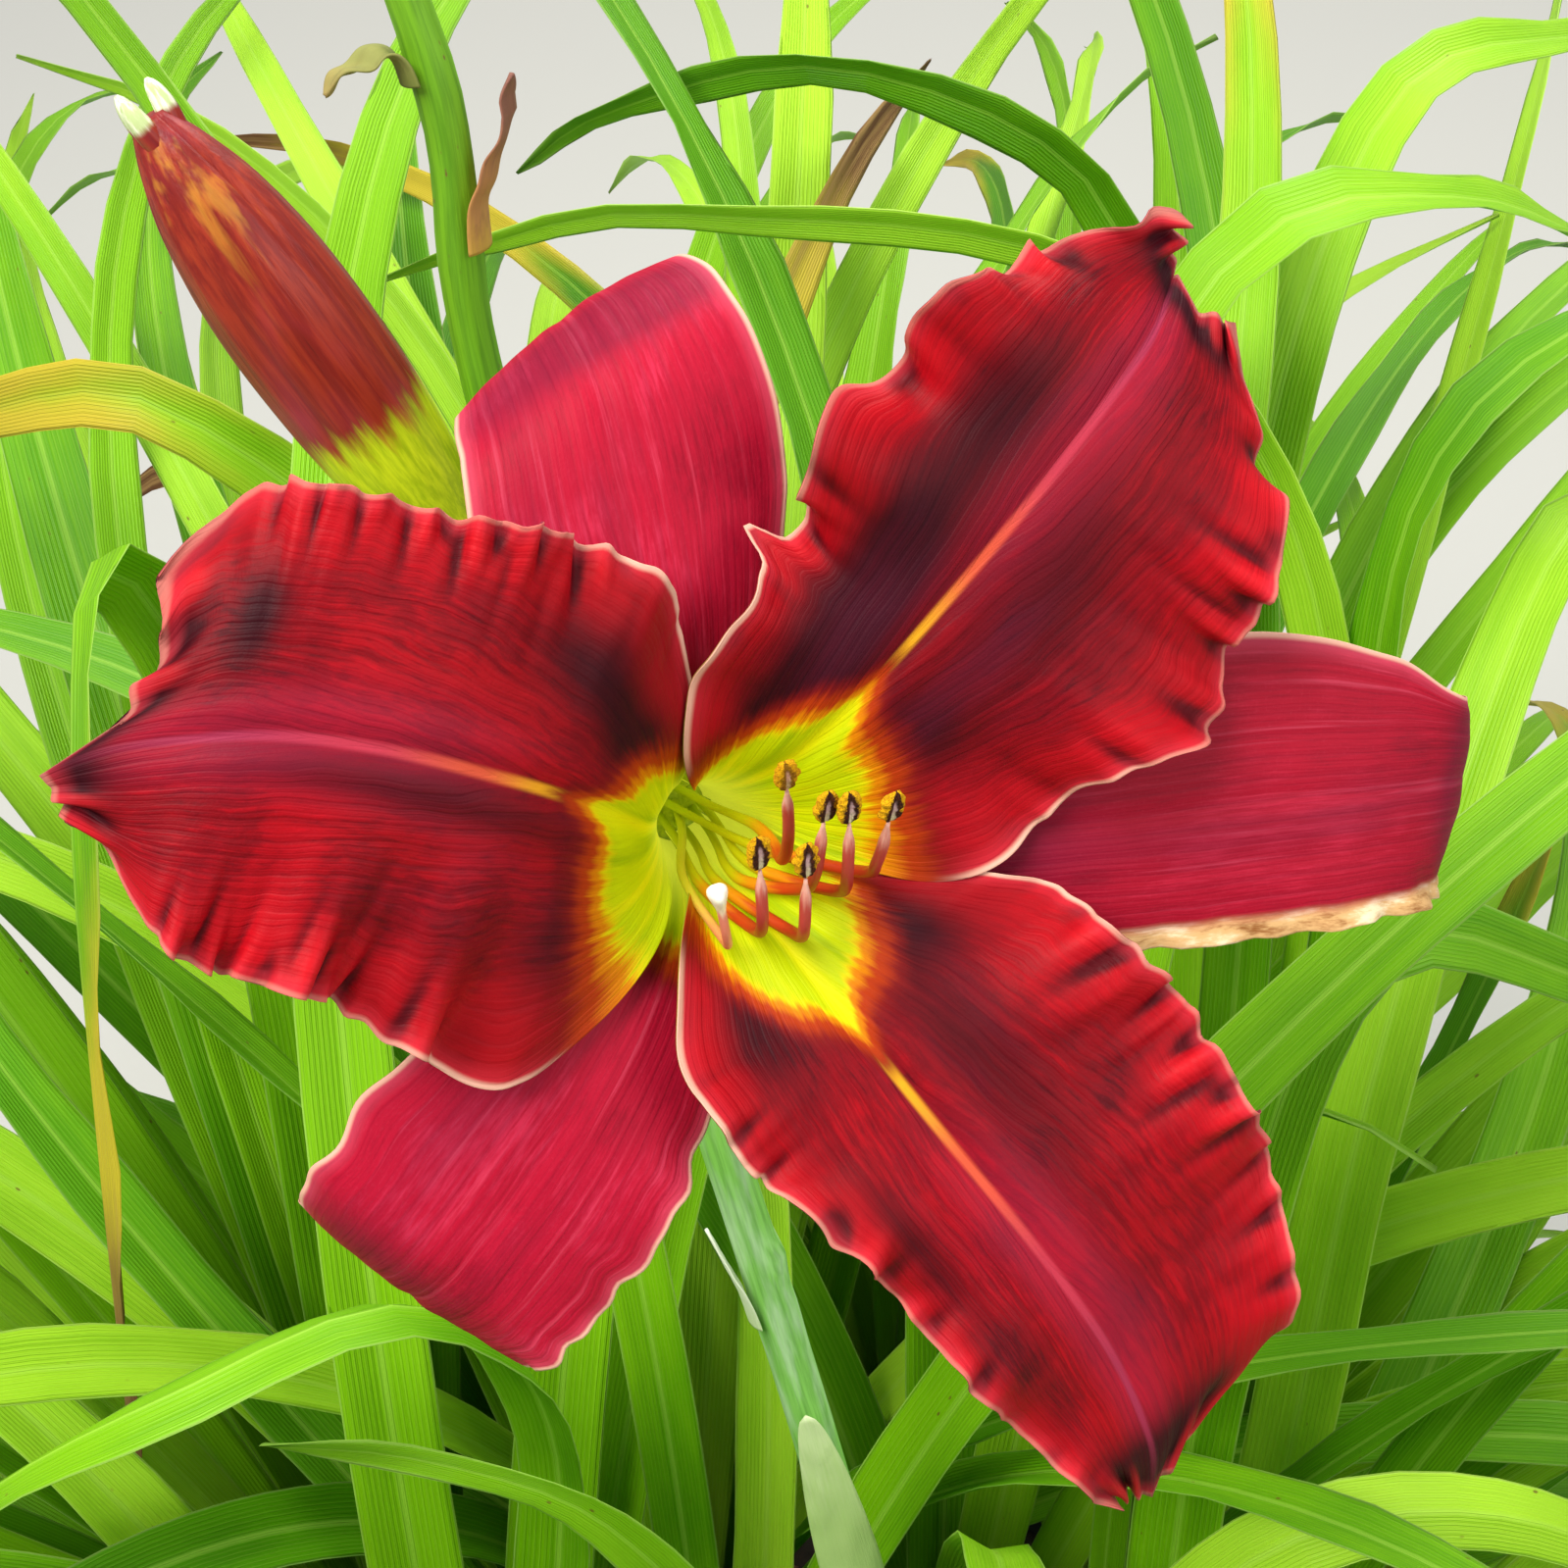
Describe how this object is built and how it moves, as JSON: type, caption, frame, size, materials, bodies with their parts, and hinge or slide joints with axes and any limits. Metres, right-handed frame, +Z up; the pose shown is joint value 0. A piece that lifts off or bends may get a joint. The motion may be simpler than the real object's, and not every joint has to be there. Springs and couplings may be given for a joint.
{
  "type": "daylily plant",
  "caption": "Daylily in flower: a clump of arching strap leaves round a scape with an open ruffled bloom and buds, growing in soil in a plain round nursery pot.",
  "frame": {"origin": "centre of the pot's flat underside", "axes": "+Z up; the open bloom faces -Y and upward"},
  "size_m": [0.916, 0.9344, 0.8262],
  "materials": {
    "pot": "fine moulded texture, satin",
    "soil": "moist crumbly potting soil with bark",
    "leaf": "smooth keeled blade with fine parallel veins, soft sheen",
    "scape": "smooth green stem with a pale bloom",
    "bract": "thin papery green to straw",
    "dry_bract": "dried brown, wrinkled",
    "stalk": "smooth light green",
    "tube": "smooth yellow green",
    "petal": "velvety crimson with a ruffled pale edge and a yellow green throat",
    "sepal": "smooth streaked crimson with a cream edge",
    "filament": "smooth, yellow green to red orange",
    "anther": "dark brown with yellow pollen",
    "style": "smooth, pale tip",
    "bud": "smooth maroon streaked, lime yellow foot, pale tips"
  },
  "bodies": {
    "root": {"pot": "pot", "soil": "soil", "scape": "scape", "bloom_stalk": "stalk", "perianth_tube": "tube", "petal_upper": "petal", "petal_left": "petal", "petal_lower": "petal", "sepal_top": "sepal", "sepal_right": "sepal", "sepal_left": "sepal", "filament_1": "filament", "filament_2": "filament", "filament_3": "filament", "filament_4": "filament", "filament_5": "filament", "filament_6": "filament", "anther_1": "anther", "anther_2": "anther", "anther_3": "anther", "anther_4": "anther", "anther_5": "anther", "anther_6": "anther", "style": "style", "bud_stalk": "stalk", "bud_large": "bud", "bud_small_1": "bud", "bud_small_2": "bud", "bud_small_3": "bud", "bract_sheath": "bract", "bract_low": "bract", "bract_dry": "dry_bract", "bract_withered": "bract", "fan_1": "leaf", "fan_2": "leaf", "fan_3": "leaf", "fan_4": "leaf", "fan_5": "leaf", "fan_6": "leaf", "fan_7": "leaf", "fan_8": "leaf", "fan_9": "leaf", "fan_10": "leaf"}
  },
  "joints": []
}
